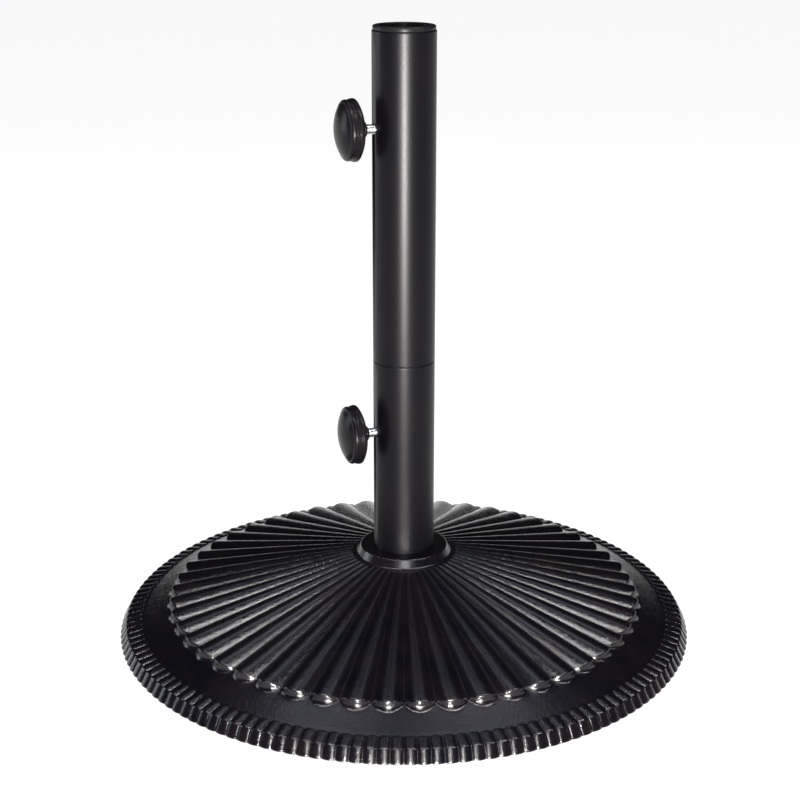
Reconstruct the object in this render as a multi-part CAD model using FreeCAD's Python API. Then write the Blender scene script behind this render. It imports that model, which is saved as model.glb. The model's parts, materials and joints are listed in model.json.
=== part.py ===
import FreeCAD, Part
import math
import os

from FreeCAD import Placement, Rotation, Vector

# Free-standing parasol base: a fluted cast-iron disc, a two-piece steel stem and two clamp knobs.
# Millimetres, +Z up. The origin is on the floor, on the stem's axis.

# ---------------------------------------------------------------- driving dimensions
# Stem tubes
TUBE_OD = 50.8
TUBE_WALL = 1.5
STEM_SEAT_Z = 46.0            # floor of the socket in the casting
LOWER_TUBE_TOP_Z = 234.7
SEAM_GAP = 0.3
UPPER_TUBE_TOP_Z = 500.0
TOTAL_HEIGHT = 504.0

# Cast base, outside
RIM_FOOT_R = 243.5            # crest of the rim beads at their lower edge
RIM_SHOULDER_R = 237.7
RIM_SHOULDER_Z = 11.7
BEAD_INNER_R = 224.0          # inner end of the beads on the top face
BEAD_INNER_Z = 14.2
APRON_INNER_R = 195.0         # smooth apron between the beads and the flutes
APRON_INNER_Z = 24.2
APEX_Z = 73.04                # point on the axis where all flute crests and valleys would meet
CREST_SLOPE = 0.2177          # fall of a flute's crest per millimetre of radius
VALLEY_SLOPE = 0.2445         # the same for the valley between two flutes
FLUTES = 50
BEADS_PER_FLUTE = 3
FIRST_VALLEY_DEG = 270.5      # azimuth of one valley, near the front
FLUTE_START_R = 36.0
FLUTE_END_FOOT_R = 203.3      # foremost point of a flute's rounded end
FLUTE_END_TOP_R = 200.0
FLUTE_END_RADIUS = 14.8       # plan radius of the rounded end at its foot
BEAD_GROOVE_DEPTH = 1.3
BEAD_GROOVE_WIDTH = 2.6
BOSS_TOP_R = 36.6
BOSS_FOOT_R = 39.8
BOSS_FOOT_Z = 64.4
BOSS_EDGE_Z = 70.1
BOSS_TOP_Z = 70.7
BOSS_MOUTH_Z = 71.2

# Cast base, underside
CASTING_FLOOR_Z = 1.0         # the pads hold the iron this far off the floor
SHELL_THICKNESS = 9.5         # measured down from the flute valleys
HUB_BOTTOM_Z = 24.0
HUB_R = 34.0
SHELL_END_R = 188.0           # where the even shell meets the thinner apron
SHELL_FOOT_R = 222.0
SHELL_FOOT_Z = 5.5
RIM_LAND_INNER_R = 230.0
RIBS = 10
RIB_THICKNESS = 7.0
RIB_DEPTH_AT_HUB = 8.0        # below the underside of the shell
RIB_DEPTH_AT_END = 5.0
RIB_END_R = 204.0

# Floor pads
PADS = 6
PAD_R = 5.0
PAD_CIRCLE_R = 236.2
PAD_POCKET_DEPTH = 1.5

# Stem fixing
BOLT_R = 4.98                 # M10, thread drawn plain
BOLT_HOLE_R = 5.5
BOLT_HEAD_AF = 16.0
BOLT_HEAD_H = 6.4
BOLT_END_Z = 64.5
FLAT_WASHER_R = 14.0
FLAT_WASHER_T = 2.3
SPRING_WASHER_R = 9.0
SPRING_WASHER_T = 2.2
FOOT_PLATE_T = 6.0
FOOT_NUT_AF = 17.0
FOOT_NUT_H = 8.4
THREAD_CLEARANCE = 0.05

# Pole seat, joint sleeve and top bushing
SEAT_OUTER_R = 23.6
SEAT_SOCKET_R = 19.8
SEAT_FLOOR_Z = 69.5
SEAT_TOP_Z = 82.0
SLEEVE_REACH = 40.0           # length of the sleeve in each tube
SLEEVE_WALL = 1.5
SLEEVE_RUNNING_GAP = 0.08
BUSHING_BORE_R = 20.0
BUSHING_FLANGE_R = 24.7
BUSHING_FLANGE_T = 3.6
BUSHING_SKIRT_BOTTOM_Z = 472.0

# Clamp screws. Distances called S run outward from the stem's axis along the screw.
SCREW_AZIMUTH_DEG = 200.0
LOWER_SCREW_Z = 174.0
UPPER_SCREW_Z = 425.0
STUD_R = 4.0                  # M8, thread drawn plain
STUD_RUNNING_GAP = 0.05
TUBE_HOLE_R = 4.6
CLAMP_NUT_R = 7.5
CLAMP_NUT_S = 20.4
PAD_FACE_S = 19.1
PAD_HEAD_T = 1.2
PAD_HEAD_R = 3.2
PAD_PIN_R = 1.5
PAD_PIN_END_S = 24.0
STUD_END_S = 20.5
KNOB_HUB_S = 32.3
STUD_HEAD_S = 41.0
STUD_HEAD_AF = 13.0
STUD_HEAD_H = 5.3
CAP_SEAM_S = 46.9
CAP_GAP = 0.2

# ---------------------------------------------------------------- derived values
TUBE_R = TUBE_OD / 2.0
TUBE_INNER_R = TUBE_R - TUBE_WALL
UPPER_TUBE_BOTTOM_Z = LOWER_TUBE_TOP_Z + SEAM_GAP
HALF_SECTOR_DEG = 180.0 / FLUTES
FOOT_PLATE_TOP_Z = STEM_SEAT_Z + FOOT_PLATE_T
SCREW_DIRECTION = Vector(math.cos(math.radians(SCREW_AZIMUTH_DEG)),
                         math.sin(math.radians(SCREW_AZIMUTH_DEG)), 0)
UP = Vector(0, 0, 1)
ORIGIN = Vector(0, 0, 0)


def crest_z(radius):
    return APEX_Z - CREST_SLOPE * radius


def valley_z(radius):
    return APEX_Z - VALLEY_SLOPE * radius


# ---------------------------------------------------------------- general shapes
def revolved(points, angle=360.0):
    """Turn a closed (radius, height) outline about the Z axis, starting at the XZ plane."""
    wire = Part.makePolygon([Vector(r, 0, z) for r, z in points + points[:1]])
    return Part.Face(wire).revolve(ORIGIN, UP, angle)


def ring(outer_r, inner_r, bottom_z, top_z):
    """A plain tube or washer on the Z axis."""
    outer = Part.makeCylinder(outer_r, top_z - bottom_z, Vector(0, 0, bottom_z))
    bore = Part.makeCylinder(inner_r, top_z - bottom_z + 2, Vector(0, 0, bottom_z - 1))
    return outer.cut(bore)


def hexagon(across_flats, height, bottom_z):
    corner_r = across_flats / math.sqrt(3.0)
    corners = [Vector(corner_r * math.cos(math.radians(60 * k)),
                      corner_r * math.sin(math.radians(60 * k)), bottom_z) for k in range(7)]
    return Part.Face(Part.makePolygon(corners)).extrude(Vector(0, 0, height))


def about_axis(shape, degrees):
    turned = shape.copy()
    turned.rotate(ORIGIN, UP, degrees)
    return turned


def along_screw(shape, height):
    """Lay a shape built on +Z along a clamp screw, so that its Z becomes the distance S."""
    laid = shape.copy()
    laid.Placement = Placement(Vector(0, 0, height), Rotation(UP, SCREW_DIRECTION))
    return laid


# ---------------------------------------------------------------- cast base
def casting_outline():
    """Radius and height outline of the casting without its flutes, from the bolt hole round."""
    under_top = valley_z(HUB_R + 3) - SHELL_THICKNESS
    flute_bed = 1.5
    bed_end_r = APRON_INNER_R - 5.0
    return [
        (BOLT_HOLE_R, HUB_BOTTOM_Z),
        (HUB_R - 2, HUB_BOTTOM_Z),
        (HUB_R, HUB_BOTTOM_Z + 2),
        (HUB_R + 3, under_top),
        (SHELL_END_R, valley_z(SHELL_END_R) - SHELL_THICKNESS),
        (SHELL_FOOT_R, SHELL_FOOT_Z),
        (RIM_LAND_INNER_R - 1, SHELL_FOOT_Z - 1),
        (RIM_LAND_INNER_R, CASTING_FLOOR_Z),
        (RIM_FOOT_R, CASTING_FLOOR_Z),
        (RIM_SHOULDER_R, RIM_SHOULDER_Z),
        (BEAD_INNER_R, BEAD_INNER_Z),
        (APRON_INNER_R, APRON_INNER_Z),
        (bed_end_r, valley_z(bed_end_r) - flute_bed),
        (BOSS_FOOT_R + 0.4, valley_z(BOSS_FOOT_R) - flute_bed),
        (BOSS_FOOT_R, BOSS_FOOT_Z),
        (BOSS_TOP_R, BOSS_EDGE_Z),
        (BOSS_TOP_R - 0.7, BOSS_TOP_Z),
        (TUBE_R + 0.05, BOSS_MOUTH_Z),
        (TUBE_R + 0.05, STEM_SEAT_Z),
        (BOLT_HOLE_R, STEM_SEAT_Z),
    ]


def flute():
    """One flute over the +X axis: a slice of a cone whose apex lies on the stem's axis."""
    crest_angle = math.atan(CREST_SLOPE)
    valley_angle = math.atan(VALLEY_SLOPE)
    half_sector = math.radians(HALF_SECTOR_DEG)
    across = math.cos(half_sector) * math.cos(valley_angle)
    down = math.sin(valley_angle)
    rise = 1 - across * math.cos(crest_angle) - down * math.sin(crest_angle)
    run = down * math.cos(crest_angle) - across * math.sin(crest_angle)
    half_angle = math.atan2(rise, run)
    axis_angle = crest_angle + half_angle
    length = 230.0
    axis = Vector(math.cos(axis_angle), 0, -math.sin(axis_angle))
    cone = Part.makeCone(0, length * math.tan(half_angle), length, Vector(0, 0, APEX_Z), axis)
    bed = 3.0
    headroom = 15.0
    end_r = FLUTE_END_FOOT_R + 3
    slab = revolved([
        (FLUTE_START_R, valley_z(FLUTE_START_R) - bed),
        (end_r, valley_z(end_r) - bed),
        (end_r, valley_z(end_r) + headroom),
        (FLUTE_START_R, valley_z(FLUTE_START_R) + headroom),
    ], 2 * HALF_SECTOR_DEG)
    slab = about_axis(slab, -HALF_SECTOR_DEG)
    return cone.common(slab).common(flute_end_limit())


def flute_end_limit():
    """Space that a flute may fill: everything inboard of its rounded, drafted end."""
    centre_r = FLUTE_END_FOOT_R - FLUTE_END_RADIUS
    foot_z = APRON_INNER_Z - (FLUTE_END_FOOT_R - APRON_INNER_R) * 0.345
    draft = (FLUTE_END_FOOT_R - FLUTE_END_TOP_R) / (crest_z(FLUTE_END_TOP_R) - foot_z)
    reach = 12.0
    end = Part.makeCone(FLUTE_END_RADIUS + draft * reach, FLUTE_END_RADIUS - draft * reach,
                        2 * reach, Vector(centre_r, 0, foot_z - reach))
    inboard = Part.makeBox(centre_r, 60, 100, Vector(0, -30, 0))
    return inboard.fuse(end)


def bead_groove():
    """V groove between two rim beads over the +X axis: along the top face, then down the wall."""
    half = BEAD_GROOVE_WIDTH / 2.0
    top_run = Vector(RIM_SHOULDER_R - BEAD_INNER_R, 0, RIM_SHOULDER_Z - BEAD_INNER_Z)
    wall_run = Vector(RIM_FOOT_R - RIM_SHOULDER_R, 0, CASTING_FLOOR_Z - RIM_SHOULDER_Z)
    shoulder = Vector(RIM_SHOULDER_R, 0, RIM_SHOULDER_Z)
    pieces = []
    for start, run in ((Vector(BEAD_INNER_R, 0, BEAD_INNER_Z), top_run), (shoulder, wall_run)):
        outward = Vector(-run.z, 0, run.x).normalize()
        ends = 3.0 * Vector(run).normalize()
        first = start - ends if start is shoulder else start
        corners = [
            first - outward * BEAD_GROOVE_DEPTH,
            first + outward * BEAD_GROOVE_DEPTH + Vector(0, 2 * half, 0),
            first + outward * BEAD_GROOVE_DEPTH - Vector(0, 2 * half, 0),
        ]
        section = Part.Face(Part.makePolygon(corners + corners[:1]))
        pieces.append(section.extrude(start + run + ends - first))
    return pieces[0].fuse(pieces[1])


def casting_sector():
    """One repeat of the casting: a flute, its three rim beads and the shell below, about +X."""
    core = about_axis(revolved(casting_outline(), 2 * HALF_SECTOR_DEG), -HALF_SECTOR_DEG)
    sector = core.fuse(flute())
    groove = bead_groove()
    pitch = 2 * HALF_SECTOR_DEG / BEADS_PER_FLUTE
    for k in range(BEADS_PER_FLUTE + 1):
        sector = sector.cut(about_axis(groove, -HALF_SECTOR_DEG + k * pitch))
    return sector


def skin_faces(sector):
    """The sector's faces, without the two flat cuts where it meets its neighbours."""
    half_sector = math.radians(HALF_SECTOR_DEG)
    kept = []
    for face in sector.Faces:
        centre = face.CenterOfMass
        azimuth = math.atan2(centre.y, centre.x)
        flat = face.Surface.TypeId == "Part::GeomPlane"
        on_cut = abs(abs(azimuth) - half_sector) < 1e-6
        if not (flat and on_cut):
            kept.append(face)
    return kept


def underside_rib():
    """Low stiffening rib below +X, along the underside of the shell. Its top edge is sunk in."""
    sunk = 3.0
    inner_r = HUB_R - 4
    hub_z = valley_z(HUB_R + 3) - SHELL_THICKNESS
    shell_end_z = valley_z(SHELL_END_R) - SHELL_THICKNESS
    foot_slope = (shell_end_z - SHELL_FOOT_Z) / (SHELL_FOOT_R - SHELL_END_R)
    rib_end_z = shell_end_z - foot_slope * (RIB_END_R - SHELL_END_R) + sunk / 2.0
    outline = [
        (inner_r, hub_z - RIB_DEPTH_AT_HUB),
        (SHELL_END_R, shell_end_z - RIB_DEPTH_AT_END),
        (RIB_END_R, rib_end_z),
        (SHELL_END_R, shell_end_z + sunk),
        (HUB_R + 3, hub_z + sunk),
        (inner_r, hub_z + sunk),
    ]
    wire = Part.makePolygon([Vector(r, -RIB_THICKNESS / 2.0, z) for r, z in outline + outline[:1]])
    return Part.Face(wire).extrude(Vector(0, RIB_THICKNESS, 0))


def base_casting():
    skin = skin_faces(casting_sector())
    first_crest_deg = FIRST_VALLEY_DEG + HALF_SECTOR_DEG
    faces = []
    for k in range(FLUTES):
        turn = first_crest_deg + 2 * HALF_SECTOR_DEG * k
        faces.extend(about_axis(face, turn) for face in skin)
    shell = Part.makeShell(faces)
    shell.sewShape()
    body = Part.makeSolid(shell)
    if body.Volume < 0:
        body.reverse()
    for k in range(RIBS):
        body = body.fuse(about_axis(underside_rib(), 360.0 / RIBS * (k + 0.5)))
    pocket_top = CASTING_FLOOR_Z + PAD_POCKET_DEPTH
    pocket = Part.makeCylinder(PAD_R + 0.1, pocket_top + 1, Vector(PAD_CIRCLE_R, 0, -1))
    for k in range(PADS):
        body = body.cut(about_axis(pocket, 360.0 / PADS * k))
    return body


def floor_pads():
    """Rubber discs glued into pockets under the rim."""
    pad = Part.makeCylinder(PAD_R, CASTING_FLOOR_Z + PAD_POCKET_DEPTH, Vector(PAD_CIRCLE_R, 0, 0))
    pad = pad.makeChamfer(0.4, [edge for edge in pad.Edges if edge.CenterOfMass.z < 0.01])
    return Part.makeCompound([about_axis(pad, 360.0 / PADS * k) for k in range(PADS)])


# ---------------------------------------------------------------- stem fixing
def flat_washer():
    return ring(FLAT_WASHER_R, BOLT_HOLE_R, HUB_BOTTOM_Z - FLAT_WASHER_T, HUB_BOTTOM_Z)


def spring_washer():
    """Split lock washer, drawn pressed flat."""
    top_z = HUB_BOTTOM_Z - FLAT_WASHER_T
    washer = ring(SPRING_WASHER_R, BOLT_HOLE_R - 0.3, top_z - SPRING_WASHER_T, top_z)
    slit = Part.makeBox(SPRING_WASHER_R + 2, 1.2, 8, Vector(0, -0.6, -4))
    slit.rotate(ORIGIN, Vector(1, 0, 0), 30)
    slit.translate(Vector(0, 0, top_z - SPRING_WASHER_T / 2.0))
    return washer.cut(slit)


def base_bolt():
    head_top = HUB_BOTTOM_Z - FLAT_WASHER_T - SPRING_WASHER_T
    head = hexagon(BOLT_HEAD_AF, BOLT_HEAD_H, head_top - BOLT_HEAD_H)
    rounding = Part.makeCone(BOLT_HEAD_AF / 2.0 - 0.2, BOLT_HEAD_AF / 2.0 + 1.8, BOLT_HEAD_H,
                             Vector(0, 0, head_top - BOLT_HEAD_H))
    head = head.common(rounding)
    shank = Part.makeCylinder(BOLT_R, BOLT_END_Z - head_top, Vector(0, 0, head_top))
    end_chamfer = [edge for edge in shank.Edges if abs(edge.CenterOfMass.z - BOLT_END_Z) < 0.01]
    return head.fuse(shank.makeChamfer(1.0, end_chamfer))


def stem_foot_plate():
    """Disc welded into the lower tube's foot; it carries the fixing nut."""
    return ring(TUBE_INNER_R, BOLT_R + THREAD_CLEARANCE, STEM_SEAT_Z, FOOT_PLATE_TOP_Z)


def foot_weld_nut():
    nut = hexagon(FOOT_NUT_AF, FOOT_NUT_H, FOOT_PLATE_TOP_Z)
    thread = Part.makeCylinder(BOLT_R + THREAD_CLEARANCE, 20, Vector(0, 0, FOOT_PLATE_TOP_Z - 2))
    return nut.cut(thread)


# ---------------------------------------------------------------- stem
def stem_tube(bottom_z, top_z, screw_z):
    tube = ring(TUBE_R, TUBE_INNER_R, bottom_z, top_z)
    ends = [edge for edge in tube.Edges
            if abs(edge.Length - 2 * math.pi * TUBE_R) < 0.01 and edge.Closed]
    tube = tube.makeChamfer(0.4, ends)
    hole = Part.makeCylinder(TUBE_HOLE_R, 20, Vector(0, 0, TUBE_R - 10))
    return tube.cut(along_screw(hole, screw_z))


def joint_sleeve():
    """Spigot: tight in the lower tube, a running fit in the upper one."""
    bottom_z = LOWER_TUBE_TOP_Z - SLEEVE_REACH
    top_z = UPPER_TUBE_BOTTOM_Z + SLEEVE_REACH
    inner_r = TUBE_INNER_R - SLEEVE_WALL - SLEEVE_RUNNING_GAP
    running_r = TUBE_INNER_R - SLEEVE_RUNNING_GAP
    return revolved([
        (inner_r, bottom_z),
        (TUBE_INNER_R - 0.5, bottom_z),
        (TUBE_INNER_R, bottom_z + 1),
        (TUBE_INNER_R, LOWER_TUBE_TOP_Z - 1),
        (running_r, LOWER_TUBE_TOP_Z - 0.8),
        (running_r, top_z - 2),
        (running_r - 0.7, top_z),
        (inner_r, top_z),
    ])


def pole_seat():
    """Plastic cup that centres the pole's foot and covers the fixing nut."""
    floor_t = 3.0
    nut_room_r = 12.0
    cup = revolved([
        (0, SEAT_FLOOR_Z - floor_t),
        (nut_room_r, SEAT_FLOOR_Z - floor_t),
        (nut_room_r, FOOT_PLATE_TOP_Z),
        (SEAT_OUTER_R, FOOT_PLATE_TOP_Z),
        (SEAT_OUTER_R, SEAT_TOP_Z),
        (SEAT_SOCKET_R + 1.5, SEAT_TOP_Z),
        (SEAT_SOCKET_R, SEAT_TOP_Z - 2),
        (SEAT_SOCKET_R, SEAT_FLOOR_Z),
        (0, SEAT_FLOOR_Z),
    ])
    drain = Part.makeCylinder(2.0, 10, Vector(9.5, 0, SEAT_FLOOR_Z - 6))
    for k in range(4):
        cup = cup.cut(about_axis(drain, 45 + 90 * k))
    return cup


def top_bushing():
    """Plastic bush pressed into the upper tube; its flange covers the tube's end."""
    edge_r = 1.5
    mouth_chamfer = 1.0
    flange_z = TOTAL_HEIGHT - BUSHING_FLANGE_T
    skirt_r = TUBE_INNER_R - 0.05
    body = revolved([
        (BUSHING_BORE_R, BUSHING_SKIRT_BOTTOM_Z),
        (skirt_r - 0.8, BUSHING_SKIRT_BOTTOM_Z),
        (skirt_r, BUSHING_SKIRT_BOTTOM_Z + 2),
        (skirt_r, flange_z),
        (BUSHING_FLANGE_R, flange_z),
        (BUSHING_FLANGE_R, TOTAL_HEIGHT),
        (BUSHING_BORE_R + mouth_chamfer, TOTAL_HEIGHT),
        (BUSHING_BORE_R, TOTAL_HEIGHT - mouth_chamfer),
    ])
    rim = [edge for edge in body.Edges
           if edge.CenterOfMass.z > TOTAL_HEIGHT - 0.01 and edge.BoundBox.XMax > BUSHING_FLANGE_R - 0.1]
    return body.makeFillet(edge_r, rim)


# ---------------------------------------------------------------- clamp screws
def clamp_nut(height):
    """Threaded boss welded inside the tube wall; its outer face follows the wall."""
    boss = Part.makeCylinder(CLAMP_NUT_R, TUBE_R - CLAMP_NUT_S, Vector(0, 0, CLAMP_NUT_S))
    thread = Part.makeCylinder(STUD_R + STUD_RUNNING_GAP, 20, Vector(0, 0, CLAMP_NUT_S - 5))
    nut = along_screw(boss.cut(thread), height)
    return nut.common(Part.makeCylinder(TUBE_INNER_R, 60, Vector(0, 0, height - 30)))


def pressure_pad(height):
    """Small swivel pad on the screw's end that bears on the pole."""
    head = Part.makeCylinder(PAD_HEAD_R, PAD_HEAD_T, Vector(0, 0, PAD_FACE_S))
    face_edge = [edge for edge in head.Edges if abs(edge.CenterOfMass.z - PAD_FACE_S) < 0.01]
    head = head.makeChamfer(0.3, face_edge)
    pin = Part.makeCylinder(PAD_PIN_R, PAD_PIN_END_S - PAD_FACE_S - 0.5, Vector(0, 0, PAD_FACE_S + 0.5))
    return along_screw(head.fuse(pin), height)


def clamp_stud(height):
    """M8 hexagon screw; its head is captive in the knob and its bore carries the pad's pin."""
    shank = Part.makeCylinder(STUD_R, STUD_HEAD_S - STUD_END_S, Vector(0, 0, STUD_END_S))
    end_edge = [edge for edge in shank.Edges if abs(edge.CenterOfMass.z - STUD_END_S) < 0.01]
    shank = shank.makeChamfer(0.6, end_edge)
    head = hexagon(STUD_HEAD_AF, STUD_HEAD_H, STUD_HEAD_S)
    bore = Part.makeCylinder(PAD_PIN_R + 0.05, PAD_PIN_END_S - STUD_END_S + 1.4,
                             Vector(0, 0, STUD_END_S - 1))
    return along_screw(shank.fuse(head).cut(bore), height)


def knob_grip(height):
    """Round plastic grip: hub, tapered back, ribbed rim, and a recess behind the cap."""
    recess_r = 19.6
    recess_s = 43.0
    seam = CAP_SEAM_S
    grip = revolved([
        (STUD_R, KNOB_HUB_S),
        (5.9, KNOB_HUB_S),
        (6.4, KNOB_HUB_S + 0.5),
        (7.2, 35.2),
        (12.0, 36.9),
        (20.5, 38.3),
        (23.6, 39.6),
        (24.6, 41.4),
        (24.6, 43.0),
        (24.0, 43.5),
        (24.4, 44.1),
        (23.8, 44.9),
        (23.9, seam - 0.6),
        (23.4, seam),
        (recess_r, seam),
        (recess_r, recess_s),
        (STUD_HEAD_AF * 0.9, recess_s),
        (STUD_HEAD_AF * 0.9, STUD_HEAD_S + STUD_HEAD_H - 0.5),
        (STUD_R, STUD_HEAD_S + STUD_HEAD_H - 0.5),
    ])
    pocket = hexagon(STUD_HEAD_AF, STUD_HEAD_H + 4, STUD_HEAD_S)
    return along_screw(grip.cut(pocket), height)


def knob_cap(height):
    """Domed disc that snaps into the grip and hides the screw's head; its face is plain."""
    back = CAP_SEAM_S + CAP_GAP
    spigot_r = 19.5
    spigot_s = 44.2
    edge_r = 24.3
    edge_s = 49.3
    crown_s = 54.3
    dome_h = crown_s - edge_s
    dome_r = (edge_r ** 2 + dome_h ** 2) / (2 * dome_h)
    blank = revolved([
        (0, back + 0.9),
        (spigot_r - 2, back + 0.9),
        (spigot_r - 2, spigot_s),
        (spigot_r, spigot_s),
        (spigot_r, back),
        (edge_r, back),
        (edge_r, crown_s),
        (0, crown_s),
    ])
    cap = blank.common(Part.makeSphere(dome_r, Vector(0, 0, crown_s - dome_r)))
    rim = [edge for edge in cap.Edges
           if edge.BoundBox.XMax > edge_r - 0.01 and abs(edge.CenterOfMass.z - edge_s) < 0.05]
    return along_screw(cap.makeFillet(1.0, rim), height)


# ---------------------------------------------------------------- nodes
NODES = {
    "base_casting": base_casting(),
    "floor_pads": floor_pads(),
    "base_bolt": base_bolt(),
    "spring_washer": spring_washer(),
    "flat_washer": flat_washer(),
    "stem_foot_plate": stem_foot_plate(),
    "foot_weld_nut": foot_weld_nut(),
    "stem_tube_lower": stem_tube(STEM_SEAT_Z, LOWER_TUBE_TOP_Z, LOWER_SCREW_Z),
    "joint_sleeve": joint_sleeve(),
    "pole_seat": pole_seat(),
    "stem_tube_upper": stem_tube(UPPER_TUBE_BOTTOM_Z, UPPER_TUBE_TOP_Z, UPPER_SCREW_Z),
    "top_bushing": top_bushing(),
}
for side, screw_z in (("lower", LOWER_SCREW_Z), ("upper", UPPER_SCREW_Z)):
    NODES[side + "_clamp_nut"] = clamp_nut(screw_z)
    NODES[side + "_pressure_pad"] = pressure_pad(screw_z)
    NODES[side + "_clamp_screw"] = clamp_stud(screw_z)
    NODES[side + "_knob_grip"] = knob_grip(screw_z)
    NODES[side + "_knob_cap"] = knob_cap(screw_z)

os.makedirs("parts", exist_ok=True)
for name, shape in NODES.items():
    shape.exportStep("parts/" + name + ".step")
    box = shape.BoundBox
    print("%-18s solids %d valid %s volume %.0f mm3  z %.2f to %.2f" % (
        name, len(shape.Solids), shape.isValid(), shape.Volume, box.ZMin, box.ZMax))
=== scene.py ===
import json
import math

import bmesh
import bpy
import numpy as np
from mathutils import Matrix, Vector


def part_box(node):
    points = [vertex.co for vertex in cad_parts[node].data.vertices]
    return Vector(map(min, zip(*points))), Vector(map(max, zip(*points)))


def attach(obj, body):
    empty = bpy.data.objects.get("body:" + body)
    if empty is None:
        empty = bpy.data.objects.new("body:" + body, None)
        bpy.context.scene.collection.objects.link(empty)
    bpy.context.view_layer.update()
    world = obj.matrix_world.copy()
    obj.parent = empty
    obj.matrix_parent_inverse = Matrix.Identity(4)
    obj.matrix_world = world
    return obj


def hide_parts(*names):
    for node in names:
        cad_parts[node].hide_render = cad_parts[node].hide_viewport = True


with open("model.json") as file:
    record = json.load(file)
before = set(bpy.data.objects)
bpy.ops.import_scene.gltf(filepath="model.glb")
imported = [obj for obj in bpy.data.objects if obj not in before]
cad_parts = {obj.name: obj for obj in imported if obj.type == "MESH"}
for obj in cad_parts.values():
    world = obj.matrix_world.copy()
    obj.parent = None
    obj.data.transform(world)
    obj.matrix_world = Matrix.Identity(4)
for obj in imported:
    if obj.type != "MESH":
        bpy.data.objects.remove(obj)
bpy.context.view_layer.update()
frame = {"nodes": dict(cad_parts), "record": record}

MM = 0.001

# ---------------------------------------------------------------- sizes, in millimetres
# Read from the frame
TUBE_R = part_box("stem_tube_lower")[1].x / MM
RIM_FOOT_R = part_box("base_casting")[1].x / MM
CASTING_FLOOR_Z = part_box("base_casting")[0].z / MM
BOSS_MOUTH_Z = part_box("base_casting")[1].z / MM
STEM_SEAT_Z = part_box("stem_tube_lower")[0].z / MM
LOWER_TUBE_TOP_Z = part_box("stem_tube_lower")[1].z / MM
UPPER_TUBE_BOTTOM_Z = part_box("stem_tube_upper")[0].z / MM
UPPER_TUBE_TOP_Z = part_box("stem_tube_upper")[1].z / MM
TOTAL_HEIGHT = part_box("top_bushing")[1].z / MM
BUSHING_BOTTOM_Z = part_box("top_bushing")[0].z / MM
BUSHING_FLANGE_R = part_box("top_bushing")[1].x / MM

# Driving dimensions, the same as the CAD model's. First the stem:
TUBE_WALL = 1.5
TUBE_HOLE_R = 4.6
BUSHING_BORE_R = 20.0

# The casting's flutes, apron and rim
APEX_Z = 73.04                # where all flute crests and valleys would meet, on the axis
CREST_SLOPE = 0.2177
VALLEY_SLOPE = 0.2445
FLUTES = 50
BEADS_PER_FLUTE = 3
FIRST_VALLEY_DEG = 270.5
FLUTE_END_FOOT_R = 203.3      # the nose of a flute, at its crest
FLUTE_END_TOP_R = 200.0
FLUTE_END_RADIUS = 14.8       # of the nose seen from above
VALLEY_FILLET = 0.34
FLUTE_START_R = 44.4
APRON_INNER_R = 195.0
APRON_INNER_Z = 24.2
APRON_SLOPE = 0.345
BEAD_INNER_R = 224.0
BEAD_INNER_Z = 14.2
RIM_SHOULDER_R = 237.7
RIM_SHOULDER_Z = 11.7

# The casting's boss
BOSS_TOP_R = 36.6
BOSS_FOOT_R = 39.8
BOSS_EDGE_Z = 70.7
BOSS_FOOT_Z = 64.0
BOSS_RING_R = 42.2            # plain ring round the boss, inside the flutes

# The casting's underside
HUB_R = 34.0
HUB_BOTTOM_Z = 24.0
BOLT_HOLE_R = 5.5
SHELL_THICKNESS = 9.5         # measured down from the flute valleys
SHELL_END_R = 188.0           # where the even shell meets the thinner apron
SHELL_FOOT_R = 222.0
SHELL_FOOT_Z = 5.5
RIM_LAND_INNER_R = 230.0
RIBS = 10
RIB_THICKNESS = 7.0
RIB_DEPTH_AT_HUB = 8.0
RIB_DEPTH_AT_END = 5.0
RIB_END_R = 204.0

# The clamp screws. A name that ends in _S is a distance from the stem's axis along a screw.
SCREW_AZIMUTH_DEG = 200.0
SCREW_Z = {"lower": 174.0, "upper": 425.0}
STUD_R = 4.0
THREAD_PITCH = 1.25
STUD_END_S = 20.5
KNOB_HUB_S = 32.3
STUD_HEAD_S = 41.0
CAP_SEAM_S = 46.9


# ---------------------------------------------------------------- mesh helpers
TURN_STEPS = 160              # points round a turned piece
ARC_STEPS = 5                 # rows round a corner of its outline


def add_object(name, mesh, material, smooth_angle=None):
    piece = bpy.data.objects.new(name, mesh)
    bpy.context.scene.collection.objects.link(piece)
    mesh.materials.append(material)
    mesh.shade_smooth()
    if smooth_angle is not None:
        mesh.set_sharp_from_angle(angle=math.radians(smooth_angle))
    return piece


def clean_normals(mesh):
    work = bmesh.new()
    work.from_mesh(mesh)
    bmesh.ops.recalc_face_normals(work, faces=work.faces)
    work.to_mesh(mesh)
    work.free()


def solid_mesh(name, points, faces):
    """Mesh from points in millimetres, with its faces turned outward."""
    mesh = bpy.data.meshes.new(name)
    mesh.from_pydata(points * MM, [], faces)
    clean_normals(mesh)
    return mesh


def band(first, second, count):
    """Faces between two closed rings of count points. first and second number the rings' first
    points."""
    faces = []
    for j in range(count):
        i = (j + 1) % count
        faces.append((first + j, first + i, second + i, second + j))
    return faces


def ring_mesh(name, rows):
    """Closed surface through a loop of closed rings. Each ring has as many points as the next,
    or twice or half as many."""
    starts = np.concatenate([[0], np.cumsum([len(row) for row in rows])])
    faces = []
    for k, row in enumerate(rows):
        after = (k + 1) % len(rows)
        a, b = int(starts[k]), int(starts[after])
        n, m = len(row), len(rows[after])
        if n == m:
            faces.extend(band(a, b, n))
            continue
        coarse = min(n, m)
        for j in range(coarse):
            i = (j + 1) % coarse
            if n > m:
                faces.append((a + 2 * j, a + 2 * j + 1, a + 2 * i, b + i, b + j))
            else:
                faces.append((a + j, a + i, b + 2 * i, b + 2 * j + 1, b + 2 * j))
    return solid_mesh(name, np.concatenate(rows), faces)


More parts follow.
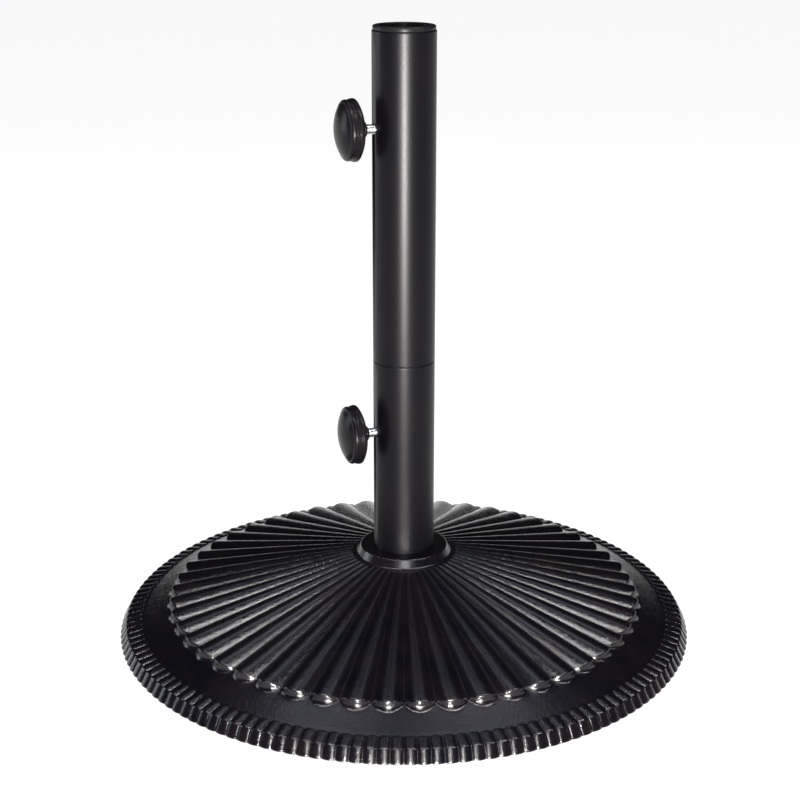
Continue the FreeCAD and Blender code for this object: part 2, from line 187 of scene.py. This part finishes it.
def rounded_path(corners, radii, arc_steps, run_steps):
    """Rows of (radius, height) along a path with rounded corners. A corner is a pair of numbers,
    or of arrays with one value for each azimuth. radii and arc_steps have one value per inner
    corner, and run_steps one per run between corners. A corner of radius 0 is one plain row, and
    a short run makes its corners' radii smaller."""
    points = [np.stack(np.broadcast_arrays(r, z), -1).astype(float) for r, z in corners]
    rows = [points[0]]
    leave = points[0]
    for k in range(1, len(points)):
        here = points[k]
        if k < len(points) - 1:
            back = here - points[k - 1]
            on = points[k + 1] - here
            back_len = np.linalg.norm(back, axis=-1, keepdims=True) + 1e-9
            on_len = np.linalg.norm(on, axis=-1, keepdims=True) + 1e-9
            turn = np.sum(back * on, -1, keepdims=True) / (back_len * on_len)
            half_turn = np.tan(np.arccos(np.clip(turn, -1, 1)) / 2)
            tangent = np.minimum(radii[k - 1] * half_turn, 0.45 * np.minimum(back_len, on_len))
            arrive = here - back / back_len * tangent
            depart = here + on / on_len * tangent
        else:
            arrive = depart = here
        for step in range(1, run_steps[k - 1]):
            rows.append(leave + (arrive - leave) * step / run_steps[k - 1])
        rows.append(arrive)
        if k < len(points) - 1 and radii[k - 1] > 0:
            for step in range(1, arc_steps[k - 1] + 1):
                u = step / arc_steps[k - 1]
                rows.append((1 - u) ** 2 * arrive + 2 * u * (1 - u) * here + u ** 2 * depart)
        leave = depart
    return rows


def turned(rows, azimuths):
    """Rings of points from rows of (radius, height) and the azimuth of each value, in radians."""
    rings = []
    for row in rows:
        row = np.broadcast_to(row, (len(azimuths), 2))
        rings.append(np.stack([row[:, 0] * np.cos(azimuths), row[:, 0] * np.sin(azimuths),
                               row[:, 1]], -1))
    return rings


def lathe(name, outline, arc=ARC_STEPS):
    """Closed turned body. The outline is a loop of (radius, height, corner radius)."""
    azimuths = np.linspace(0, 2 * math.pi, TURN_STEPS, endpoint=False)
    loop = outline + outline[:2]
    corners = [(r, z) for r, z, _ in loop]
    radii = [corner[2] for corner in loop[1:-1]]
    rows = rounded_path(corners, radii, [arc] * len(radii), [1] * (len(loop) - 1))
    # The path runs on past the loop's start, so its plain first and last rows are dropped.
    return ring_mesh(name, turned(rows[1:-1], azimuths))


def disc_lathe(name, outline):
    """Closed turned body whose outline starts and ends on the axis, at radius 0."""
    steps = TURN_STEPS
    azimuths = np.linspace(0, 2 * math.pi, steps, endpoint=False)
    corners = [(r, z) for r, z, _ in outline]
    radii = [corner[2] for corner in outline[1:-1]]
    rows = rounded_path(corners, radii, [ARC_STEPS] * len(radii), [1] * (len(outline) - 1))
    rings = turned(rows, azimuths)[1:-1]
    poles = [np.array([[0, 0, outline[0][1]]]), np.array([[0, 0, outline[-1][1]]])]
    faces = []
    for k in range(len(rings) - 1):
        faces.extend(band(k * steps, (k + 1) * steps, steps))
    first_pole = len(rings) * steps
    last_pole = first_pole + 1
    last_ring = first_pole - steps
    for j in range(steps):
        i = (j + 1) % steps
        faces.append((first_pole, j, i))
        faces.append((last_pole, last_ring + i, last_ring + j))
    return solid_mesh(name, np.concatenate(rings + poles), faces)


def along_screw(mesh, side):
    """Lay a mesh built on +Z along a clamp screw."""
    azimuth = math.radians(SCREW_AZIMUTH_DEG)
    direction = Vector((math.cos(azimuth), math.sin(azimuth), 0))
    turn = Vector((0, 0, 1)).rotation_difference(direction).to_matrix().to_4x4()
    mesh.transform(Matrix.Translation((0, 0, SCREW_Z[side] * MM)) @ turn)
    return mesh


# ---------------------------------------------------------------- materials
class Shader:
    """A small helper that builds one procedural material, node by node. Its plain colour and
    roughness are what shows where the nodes can't be read."""

    def __init__(self, name, color, roughness, metallic=0.0):
        self.material = bpy.data.materials.new(name)
        self.material.use_nodes = True
        self.tree = self.material.node_tree
        self.shader = self.tree.nodes["Principled BSDF"]
        self.shader.inputs["Base Color"].default_value = (*color, 1)
        self.shader.inputs["Roughness"].default_value = roughness
        self.shader.inputs["Metallic"].default_value = metallic
        self.place = self.tree.nodes.new("ShaderNodeTexCoord").outputs["Object"]
        self.height = None

    def link(self, output, target):
        self.tree.links.new(output, target)

    def noise(self, scale, detail, roughness=0.55):
        node = self.tree.nodes.new("ShaderNodeTexNoise")
        node.inputs["Scale"].default_value = scale
        node.inputs["Detail"].default_value = detail
        node.inputs["Roughness"].default_value = roughness
        self.link(self.place, node.inputs["Vector"])
        return node.outputs["Fac"]

    def vary_color(self, value, low_color, high_color):
        """Spread two colours over the middle of a noise's range."""
        ramp = self.tree.nodes.new("ShaderNodeValToRGB")
        ramp.color_ramp.elements[0].position = 0.35
        ramp.color_ramp.elements[0].color = (*low_color, 1)
        ramp.color_ramp.elements[1].position = 0.65
        ramp.color_ramp.elements[1].color = (*high_color, 1)
        self.link(value, ramp.inputs["Fac"])
        self.link(ramp.outputs["Color"], self.shader.inputs["Base Color"])

    def vary_roughness(self, value, low_roughness, high_roughness):
        """Spread two roughnesses over the middle of a noise's range."""
        node = self.tree.nodes.new("ShaderNodeMapRange")
        node.inputs["From Min"].default_value = 0.3
        node.inputs["From Max"].default_value = 0.7
        node.inputs["To Min"].default_value = low_roughness
        node.inputs["To Max"].default_value = high_roughness
        self.link(value, node.inputs["Value"])
        self.link(node.outputs["Result"], self.shader.inputs["Roughness"])

    def specular(self, level):
        self.shader.inputs["Specular IOR Level"].default_value = level

    def bump(self, value, depth_mm, strength):
        """Add a relief on top of those that are already there."""
        node = self.tree.nodes.new("ShaderNodeBump")
        node.inputs["Strength"].default_value = strength
        node.inputs["Distance"].default_value = depth_mm * MM
        self.link(value, node.inputs["Height"])
        if self.height is not None:
            self.link(self.height, node.inputs["Normal"])
        self.height = node.outputs["Normal"]
        self.link(self.height, self.shader.inputs["Normal"])

    def coat(self, weight, roughness):
        self.shader.inputs["Coat Weight"].default_value = weight
        self.shader.inputs["Coat Roughness"].default_value = roughness


def cast_iron_enamel():
    """Gloss black enamel that follows the grain of the sand casting."""
    s = Shader("cast_iron_enamel", (0.004, 0.004, 0.005), 0.3)
    s.specular(0.38)
    broad = s.noise(28, 2)
    grain = s.noise(500, 3, 0.6)
    fine = s.noise(1200, 2)
    s.vary_color(broad, (0.0010, 0.0010, 0.0022), (0.0030, 0.0021, 0.0029))
    s.vary_roughness(grain, 0.14, 0.21)
    s.bump(broad, 0.4, 0.4)
    s.bump(grain, 0.28, 0.9)
    s.bump(fine, 0.10, 0.9)
    s.coat(0.1, 0.12)
    return s.material


def stem_coat():
    """Satin black powder coat with its fine orange peel."""
    s = Shader("stem_coat", (0.002, 0.002, 0.0026), 0.34)
    s.specular(0.135)
    peel = s.noise(900, 3, 0.6)
    cloud = s.noise(18, 2)
    s.vary_color(cloud, (0.0008, 0.0008, 0.0017), (0.0018, 0.0013, 0.0019))
    s.vary_roughness(peel, 0.31, 0.37)
    s.bump(peel, 0.08, 0.6)
    return s.material


def moulded_plastic(name, color, high_color, rough_low, rough_high, grain_mm=0.03):
    """Plastic with the fine grain of its mould."""
    s = Shader(name, color, rough_low)
    s.specular(0.09)
    grain = s.noise(1700, 3)
    cloud = s.noise(60, 2)
    s.vary_color(cloud, color, high_color)
    s.vary_roughness(grain, rough_low, rough_high)
    s.bump(grain, grain_mm, 0.6)
    return s.material


def metal(name, color, high_color, rough_low, rough_high, scale=400):
    """Bare or plated steel, a little uneven in colour and polish."""
    s = Shader(name, color, rough_low, metallic=1.0)
    grain = s.noise(scale, 4, 0.6)
    s.vary_color(grain, color, high_color)
    s.vary_roughness(grain, rough_low, rough_high)
    s.bump(grain, 0.03, 0.4)
    return s.material


MATERIALS = {
    "cast_iron_enamel": cast_iron_enamel(),
    "stem_coat": stem_coat(),
    "knob_plastic": moulded_plastic(
        "knob_plastic", (0.0030, 0.0026, 0.0032), (0.0048, 0.0041, 0.0048), 0.24, 0.32),
    "bushing_plastic": moulded_plastic(
        "bushing_plastic", (0.004, 0.004, 0.005), (0.007, 0.007, 0.007), 0.30, 0.38, grain_mm=0.01),
    "seat_plastic": moulded_plastic(
        "seat_plastic", (0.020, 0.020, 0.021), (0.030, 0.030, 0.031), 0.45, 0.6),
    "zinc_steel": metal(
        "zinc_steel", (0.78, 0.79, 0.80), (0.62, 0.64, 0.66), 0.18, 0.32),
    "plain_steel": metal(
        "plain_steel", (0.30, 0.29, 0.28), (0.42, 0.41, 0.40), 0.35, 0.55, scale=150),
    "pad_nylon": moulded_plastic(
        "pad_nylon", (0.60, 0.58, 0.50), (0.68, 0.66, 0.58), 0.4, 0.5),
    "pad_rubber": moulded_plastic(
        "pad_rubber", (0.012, 0.012, 0.012), (0.022, 0.022, 0.022), 0.7, 0.85, grain_mm=0.1),
}


def place(piece, body, node):
    """Hang a piece on its body, in place of the CAD node that it shows."""
    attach(piece, body)
    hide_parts(node)


# ---------------------------------------------------------------- cast base
# Places across one bead of the rim. Its joints lie at -1 and 1 and its middle at 0.
BEAD_STEPS = (-1.0, -0.95, -0.88, -0.74, -0.42, 0.0, 0.42, 0.74, 0.88, 0.95)
BEAD_HEIGHT = 1.7             # of the middle above the joints
BEAD_WALL_DEPTH = 1.5         # of the joints in the rim's wall
BEAD_JOINT = 0.95             # beyond this the paint fills the joint
FLUTE_WANDER = 0.25           # how far single flutes end further in or out
BEAD_WANDER = 0.3             # the same for the beads
FLUTE_DEG = 360.0 / FLUTES
BEADS = FLUTES * BEADS_PER_FLUTE


def crest_fall(phi, radius):
    """Fall per millimetre of radius of a flute's surface, at the angle phi from its crest. A flute
    is part of a round cone that lies on its side with its tip on the casting's axis. The cone's
    own axis and half angle follow from the crest and the valleys, which are lines on it. The
    valley's paint fillet is as wide at every radius."""
    crest_angle = math.atan(CREST_SLOPE)
    valley_angle = math.atan(VALLEY_SLOPE)
    half_sector = math.radians(FLUTE_DEG / 2)
    across = math.cos(half_sector) * math.cos(valley_angle)
    down = math.sin(valley_angle)
    rise = 1 - across * math.cos(crest_angle) - down * math.sin(crest_angle)
    run = down * math.cos(crest_angle) - across * math.sin(crest_angle)
    half_angle = math.atan2(rise, run)
    axis_angle = crest_angle + half_angle
    level = np.cos(phi) * math.cos(axis_angle)
    plumb = math.sin(axis_angle)
    square = math.cos(half_angle) ** 2
    # The line at this azimuth lies on the cone where a * fall ** 2 + b * fall + c is 0.
    a = plumb * plumb - square
    b = 2 * level * plumb
    c = level * level - square
    fall = (-b + np.sqrt(np.maximum(b * b - 4 * a * c, 0))) / (2 * a)
    valley_round = VALLEY_FILLET / radius
    return VALLEY_SLOPE - np.sqrt((VALLEY_SLOPE - fall) ** 2 + valley_round ** 2)


def apron_z(radius):
    return APRON_INNER_Z - APRON_SLOPE * (radius - APRON_INNER_R)


def under_shell_z(radius):
    """Height of the shell's underside, which runs level with the valleys."""
    return APEX_Z - VALLEY_SLOPE * radius - SHELL_THICKNESS


def flute_end_r(phi, plan_r):
    """Radius of a flute's round end, whose own radius from above is plan_r."""
    centre_r = FLUTE_END_FOOT_R - FLUTE_END_RADIUS
    across = centre_r * np.sin(phi)
    return centre_r * np.cos(phi) + np.sqrt(np.maximum(plan_r ** 2 - across ** 2, 0))


def flute_nose(phi, shift):
    """Radius and height of the nose's upper edge, and the radius of its foot on the apron. The
    nose leans in by its draft, so the radius of the edge follows from the edge's height. Thick
    paint rounds the foot off, which is then drawn in a little."""
    least = 0.02                  # keeps the nose's rows apart in the valleys
    fall = crest_fall(phi, FLUTE_END_TOP_R)
    crest_foot_z = apron_z(FLUTE_END_FOOT_R)
    crest_top_z = APEX_Z - CREST_SLOPE * FLUTE_END_TOP_R
    draft = (FLUTE_END_FOOT_R - FLUTE_END_TOP_R) / (crest_top_z - crest_foot_z)
    foot_r = flute_end_r(phi, FLUTE_END_RADIUS) + shift
    top_r = foot_r
    for _ in range(30):
        rise = np.maximum(APEX_Z - fall * top_r - crest_foot_z, 0)
        top_r = flute_end_r(phi, FLUTE_END_RADIUS - draft * rise) + shift
    top_r = np.minimum(top_r, foot_r - least)
    top_z = np.maximum(APEX_Z - fall * top_r, apron_z(top_r) + least)
    drawn_in = np.minimum(2.4, 0.7 * (foot_r - top_r))
    return top_r, top_z, foot_r - drawn_in


def bead_dips(x):
    """How far the rim's top lies below a bead's middle, and how far its wall lies behind it."""
    inside = np.clip(np.abs(x), 0, BEAD_JOINT)
    top_dip = BEAD_HEIGHT * (1 - np.sqrt(1 - inside ** 2.4))
    arc = 1 - np.sqrt(1 - (BEAD_JOINT * inside) ** 2)
    return top_dip, BEAD_WALL_DEPTH * arc / (1 - math.sqrt(1 - BEAD_JOINT ** 2))


def casting_top(phi, x):
    """Rows of (radius, height) from the boss's mouth over the top and rim to the rim's land, at
    the angle phi from a flute's crest and the place x across a bead."""
    random = np.random.RandomState(5)
    per_flute = np.repeat(random.uniform(-1, 1, FLUTES), BEADS_PER_FLUTE * len(BEAD_STEPS))
    per_bead = np.repeat(random.uniform(-1, 1, BEADS), len(BEAD_STEPS))
    start_fall = crest_fall(phi, FLUTE_START_R)
    top_r, top_z, foot_r = flute_nose(phi, FLUTE_WANDER * per_flute)
    dip, wall_dip = bead_dips(x)
    rounding = 1.5 * np.abs(x) ** 3               # of the beads' inner ends, seen from above
    end_r = BEAD_INNER_R + BEAD_WANDER * per_bead + rounding
    groove_r = end_r - 0.6
    ring_z = APEX_Z - CREST_SLOPE * BOSS_RING_R - 0.45
    corners = [
        (TUBE_R + 0.25, BOSS_MOUTH_Z - 0.1),
        (BOSS_TOP_R, BOSS_EDGE_Z),
        (BOSS_FOOT_R, BOSS_FOOT_Z),
        (BOSS_RING_R, ring_z),
        (FLUTE_START_R, APEX_Z - start_fall * FLUTE_START_R),
        (top_r, top_z),
        (foot_r, apron_z(foot_r)),
        (groove_r, apron_z(groove_r) - 0.5),
        (end_r + 0.5, BEAD_INNER_Z + 0.35 - dip),
        (RIM_SHOULDER_R - 0.8 * wall_dip, RIM_SHOULDER_Z + 0.08 * per_bead - dip),
        (RIM_FOOT_R - wall_dip, CASTING_FLOOR_Z),
        (RIM_LAND_INNER_R, CASTING_FLOOR_Z),
    ]
    radii = [1.5, 1.8, 1.2, 0.8, 1.5, 7.0, 0.5, 1.0, 2.8, 0.8]
    arcs = [6, 6, 3, 3, 7, 8, 3, 5, 7, 4]
    runs = [3, 2, 1, 1, 10, 4, 6, 1, 5, 4, 2]
    return rounded_path(corners, radii, arcs, runs)


def casting_underside():
    """Rows of (radius, height) from the rim's land round the underside to the socket's mouth."""
    outline = [
        (RIM_LAND_INNER_R + 0.4, CASTING_FLOOR_Z),
        (RIM_LAND_INNER_R, CASTING_FLOOR_Z),
        (RIM_LAND_INNER_R - 1, SHELL_FOOT_Z - 1),
        (SHELL_FOOT_R, SHELL_FOOT_Z),
        (SHELL_END_R, under_shell_z(SHELL_END_R)),
        (HUB_R + 3, under_shell_z(HUB_R + 3)),
        (HUB_R, HUB_BOTTOM_Z + 2),
        (HUB_R - 2, HUB_BOTTOM_Z),
        (BOLT_HOLE_R, HUB_BOTTOM_Z),
        (BOLT_HOLE_R, STEM_SEAT_Z),
        (TUBE_R + 0.05, STEM_SEAT_Z),
        (TUBE_R + 0.05, BOSS_MOUTH_Z - 1.0),
    ]
    radii = [0.8, 1.0, 8.0, 6.0, 4.0, 1.0, 1.0, 0.4, 0.1, 0.1]
    arcs = [3, 3, 4, 4, 4, 2, 2, 2, 1, 1]
    runs = [1, 1, 1, 4, 12, 3, 1, 4, 2, 2, 2]
    return rounded_path(outline, radii, arcs, runs)


def casting_ribs():
    """Low stiffening ribs below the shell, as one mesh of closed tapered bars."""
    sunk = 3.0                    # into the shell
    edge_round = 1.2
    inner_r = HUB_R - 4
    hub_z = under_shell_z(HUB_R + 3)
    shell_end_z = under_shell_z(SHELL_END_R)
    foot_slope = (shell_end_z - SHELL_FOOT_Z) / (SHELL_FOOT_R - SHELL_END_R)
    rib_end_z = shell_end_z - foot_slope * (RIB_END_R - SHELL_END_R) + sunk / 2
    outline = [
        (inner_r, hub_z - RIB_DEPTH_AT_HUB), (SHELL_END_R, shell_end_z - RIB_DEPTH_AT_END),
        (RIB_END_R, rib_end_z), (SHELL_END_R, shell_end_z + sunk), (HUB_R + 3, hub_z + sunk),
        (inner_r, hub_z + sunk),
    ]
    lower_runs = 2                # the first two runs of the outline are the rib's open edge
    work = bmesh.new()
    edges = []
    for k in range(RIBS):
        turn = Matrix.Rotation(2 * math.pi / RIBS * (k + 0.5), 4, "Z")
        sides = []
        for side in (-1, 1):
            sides.append([work.verts.new(turn @ Vector((r, side * RIB_THICKNESS / 2, z)) * MM)
                          for r, z in outline])
        n = len(outline)
        work.faces.new(sides[0])
        work.faces.new(sides[1][::-1])
        for j in range(n):
            i = (j + 1) % n
            work.faces.new((sides[0][j], sides[1][j], sides[1][i], sides[0][i]))
        for j in range(lower_runs):
            edges.extend(work.edges.get((side[j], side[j + 1])) for side in sides)
    bmesh.ops.recalc_face_normals(work, faces=work.faces)
    bmesh.ops.bevel(work, geom=edges, offset=edge_round * MM, segments=3, affect="EDGES",
                    profile=0.5)
    mesh = bpy.data.meshes.new("ribs")
    work.to_mesh(mesh)
    work.free()
    return mesh


def joined(name, meshes):
    """One mesh from several closed ones."""
    work = bmesh.new()
    for mesh in meshes:
        work.from_mesh(mesh)
        bpy.data.meshes.remove(mesh)
    whole = bpy.data.meshes.new(name)
    work.to_mesh(whole)
    work.free()
    return whole


def make_casting():
    bead = np.repeat(np.arange(BEADS), len(BEAD_STEPS))
    x = np.tile(BEAD_STEPS, BEADS)
    from_valley = (bead + 0.5 + x / 2) * 360.0 / BEADS
    azimuth = np.radians(FIRST_VALLEY_DEG + from_valley)
    phi = np.radians(from_valley % FLUTE_DEG - FLUTE_DEG / 2)
    top = turned(casting_top(phi, x), azimuth)
    under = turned(casting_underside(), azimuth[::2])
    body = ring_mesh("casting_body", top + under)
    piece = add_object("casting", joined("casting", [body, casting_ribs()]),
                       MATERIALS["cast_iron_enamel"], 50)
    place(piece, "base", "base_casting")


# ---------------------------------------------------------------- stem
def make_tube(side, bottom_z, top_z, body):
    """Steel tube with rounded ends and the clamp screw's hole."""
    inner_r = TUBE_R - TUBE_WALL
    name = "stem_tube_" + side
    end_strip = 1.5               # a ring near each end keeps the shading of the wall straight
    outline = [
        (TUBE_R, bottom_z, 0.6), (TUBE_R, bottom_z + end_strip, 0), (TUBE_R, top_z - end_strip, 0),
        (TUBE_R, top_z, 0.6), (inner_r, top_z, 0.3), (inner_r, bottom_z, 0.3),
    ]
    tube = add_object(side + "_stem", lathe(name, outline, arc=4), MATERIALS["stem_coat"], 35)
    drill_mesh = bpy.data.meshes.new("drill")
    work = bmesh.new()
    through = 20.0                # length of the drill, longer than the wall is thick
    bmesh.ops.create_cone(work, cap_ends=True, segments=64, radius1=TUBE_HOLE_R * MM,
                          radius2=TUBE_HOLE_R * MM, depth=through * MM,
                          matrix=Matrix.Translation((0, 0, TUBE_R * MM)))
    work.to_mesh(drill_mesh)
    work.free()
    drill = bpy.data.objects.new("drill", along_screw(drill_mesh, side))
    bpy.context.scene.collection.objects.link(drill)
    cut = tube.modifiers.new("hole", "BOOLEAN")
    cut.operation = "DIFFERENCE"
    cut.solver = "EXACT"
    cut.object = drill
    bpy.context.view_layer.update()
    graph = bpy.context.evaluated_depsgraph_get()
    holed = bpy.data.meshes.new_from_object(tube.evaluated_get(graph))
    tube.modifiers.clear()
    tube.data = holed
    bpy.data.objects.remove(drill)
    place(tube, body, name)


def make_bushing():
    """Plastic bush with its skirt in the upper tube and its flange on the tube's end."""
    skirt_r = TUBE_R - TUBE_WALL - 0.05
    flange_z = UPPER_TUBE_TOP_Z + 0.4
    outline = [
        (BUSHING_BORE_R, BUSHING_BOTTOM_Z, 0.4), (skirt_r, BUSHING_BOTTOM_Z, 1.0),
        (skirt_r, flange_z, 0.2), (BUSHING_FLANGE_R, flange_z, 0.5),
        (BUSHING_FLANGE_R, TOTAL_HEIGHT, 1.5), (BUSHING_BORE_R, TOTAL_HEIGHT, 1.0),
    ]
    piece = add_object("top_bush", lathe("top_bush", outline), MATERIALS["bushing_plastic"], 50)
    place(piece, "upper_stem", "top_bushing")


# ---------------------------------------------------------------- clamp screws
def thread_mesh(name, start, end):
    """Right-hand M8 thread: a turned bar whose surface follows the helix, with closed ends."""
    depth = 0.62
    root = 0.12                   # flat at the root, as a part of half a pitch
    flank = 0.7                   # the slope beside it; what is left is the crest
    chamfer = 0.7                 # off the radius at the start, over the first millimetre
    around = 48
    per_pitch = 10
    count = int((end - start) / THREAD_PITCH * per_pitch)
    azimuths = np.linspace(0, 2 * math.pi, around, endpoint=False)
    rings = []
    for z in np.linspace(start, end, count):
        turn = (z / THREAD_PITCH - azimuths / (2 * math.pi)) % 1.0
        ridge = np.abs(turn * 2 - 1)
        level = np.clip((ridge - root) / flank, 0, 1)
        taper = min(1.0, z - start)
        radius = np.minimum(STUD_R - depth * (1 - level), STUD_R - chamfer * (1 - taper))
        rings.append(np.stack([radius * np.cos(azimuths), radius * np.sin(azimuths),
                               np.full(around, z)], -1))
    faces = []
    for k in range(count - 1):
        faces.extend(band(k * around, (k + 1) * around, around))
    faces.append(tuple(range(around))[::-1])
    faces.append(tuple((count - 1) * around + j for j in range(around)))
    return solid_mesh(name, np.concatenate(rings), faces)


def make_screw(side):
    """A clamp screw's stud, the grip moulded on it and the cap in the grip. The outlines are
    (radius, distance along the screw, corner radius)."""
    body = side + "_knob"
    thread = along_screw(thread_mesh("thread", STUD_END_S, STUD_HEAD_S), side)
    screw = add_object(side + "_stud", thread, MATERIALS["zinc_steel"], 40)
    place(screw, body, side + "_clamp_screw")
    bore_r = STUD_R + 0.05
    grip_r = 24.6
    recess_r = 19.6
    recess_s = 43.0
    grip_outline = [
        (bore_r, KNOB_HUB_S, 0.1), (5.9, KNOB_HUB_S, 0.5), (6.9, 35.0, 2.0),           # hub
        (12.0, 36.9, 6.0), (20.0, 38.2, 8.0),                                          # back
        (grip_r, 40.8, 2.8), (grip_r, 43.0, 0.8), (23.8, 43.6, 0.4),                   # grip edge
        (24.4, 44.2, 0.5), (23.5, 45.0, 0.5), (23.7, 46.5, 0.4),                       # step
        (23.4, CAP_SEAM_S, 0.2), (recess_r, CAP_SEAM_S, 0.2),                          # front
        (recess_r, recess_s, 0.4), (bore_r, recess_s, 0.2),                            # recess
    ]
    grip = add_object(side + "_grip", along_screw(lathe("grip", grip_outline), side),
                      MATERIALS["knob_plastic"], 40)
    place(grip, body, side + "_knob_grip")
    back = CAP_SEAM_S + 0.2
    skirt_r = recess_r - 0.1
    skirt_wall = 2.0
    skirt_end = 44.2
    crown = 56.1
    cap_outline = [
        (0, back + 0.9, 0), (skirt_r - skirt_wall, back + 0.9, 0.2),                   # inner face
        (skirt_r - skirt_wall, skirt_end, 0.2), (skirt_r, skirt_end, 0.3),             # skirt
        (skirt_r, back, 0.1), (23.8, back, 0.3), (23.9, back + 0.8, 0.5),              # flange
        (23.4, 49.2, 0.9), (22.2, 50.1, 1.6), (21.2, 50.3, 1.0),                       # front edge
        (18.0, 52.4, 20), (12.0, 54.6, 30), (6.0, 55.7, 40), (0, crown, 0),            # dome
    ]
    cap = add_object(side + "_cap", along_screw(disc_lathe("cap", cap_outline), side),
                     MATERIALS["knob_plastic"], 40)
    place(cap, body, side + "_knob_cap")


# ---------------------------------------------------------------- the object
SLOT_OF = {part["node"]: part["material_slot"] for part in frame["record"]["subparts"]}
for node_name, node in frame["nodes"].items():
    node.data.materials.clear()
    node.data.materials.append(MATERIALS[SLOT_OF[node_name]])

make_casting()
make_tube("lower", STEM_SEAT_Z, LOWER_TUBE_TOP_Z, "base")
make_tube("upper", UPPER_TUBE_BOTTOM_Z, UPPER_TUBE_TOP_Z, "upper_stem")
make_bushing()
make_screw("lower")
make_screw("upper")


# ---------------------------------------------------------------- floor, light and camera
def floor():
    """A white light table: a plain pale sheet that glows evenly."""
    mesh = bpy.data.meshes.new("floor")
    half = 60.0                   # metres, so that a low view has no dark horizon
    corners = [(-half, -half, 0), (half, -half, 0), (half, half, 0), (-half, half, 0)]
    mesh.from_pydata(corners, [], [(0, 1, 2, 3)])
    s = Shader("floor", (0.2, 0.2, 0.2), 0.8)
    s.specular(0.0)
    s.shader.inputs["Emission Color"].default_value = (1, 1, 1, 1)
    s.shader.inputs["Emission Strength"].default_value = 0.93
    s.vary_color(s.noise(3, 2), (0.19, 0.19, 0.19), (0.21, 0.21, 0.21))
    piece = add_object("floor", mesh, s.material)


def area_light(name, place_at, target, width, height, power, color=(1, 1, 1)):
    """A soft panel that looks at its target, with its places and sizes in metres."""
    data = bpy.data.lights.new(name, "AREA")
    data.shape = "RECTANGLE"
    data.size = width
    data.size_y = height
    data.energy = power
    data.color = color
    lamp = bpy.data.objects.new(name, data)
    bpy.context.scene.collection.objects.link(lamp)
    lamp.location = place_at
    lamp.rotation_euler = (Vector(target) - Vector(place_at)).to_track_quat("-Z", "Y").to_euler()


def lights():
    """A dim studio with five panels: a long strip overhead for the flutes, a key and a narrow low
    key for the rim, the noses and the stem, and two cool fills, for the stem's left side and for
    the apron."""
    world = bpy.data.worlds.new("studio")
    world.use_nodes = True
    background = world.node_tree.nodes["Background"]
    background.inputs["Color"].default_value = (0.92, 0.96, 1.0, 1)
    background.inputs["Strength"].default_value = 0.025
    bpy.context.scene.world = world
    middle = (0, 0, 0.1)
    area_light("overhead", (0.45, -0.45, 2.0), (0.45, 0, 0), 2.9, 0.12, 62)
    area_light("key", (0.12, -2.0, 1.15), middle, 0.5, 1.1, 24)
    area_light("low_key", (0.06, -2.0, 0.14), (0, 0, 0.4), 0.10, 0.26, 150, (1.0, 0.95, 0.94))
    area_light("left", (-2.2, 0.6, 0.65), middle, 0.6, 1.0, 10, (0.80, 0.90, 1.0))
    area_light("back_top", (0, 0.75, 2.0), (0, -0.2, 0), 1.6, 0.36, 5.4, (0.80, 0.85, 1.0))


def camera():
    """The view: 1.26 m in front, 0.62 m up, looking 18.5 degrees down through a 72 mm lens."""
    look_down = math.radians(18.526)
    look_left = 0.01062
    data = bpy.data.cameras.new("camera")
    data.sensor_width = 36.0
    data.lens = 71.81
    eye = bpy.data.objects.new("camera", data)
    bpy.context.scene.collection.objects.link(eye)
    eye.location = (0.01007, -1.2560, 0.62017)
    eye.rotation_euler = (math.pi / 2 - look_down, 0, look_left)
    bpy.context.scene.camera = eye


floor()
lights()
camera()
bpy.context.scene.view_settings.view_transform = "Standard"
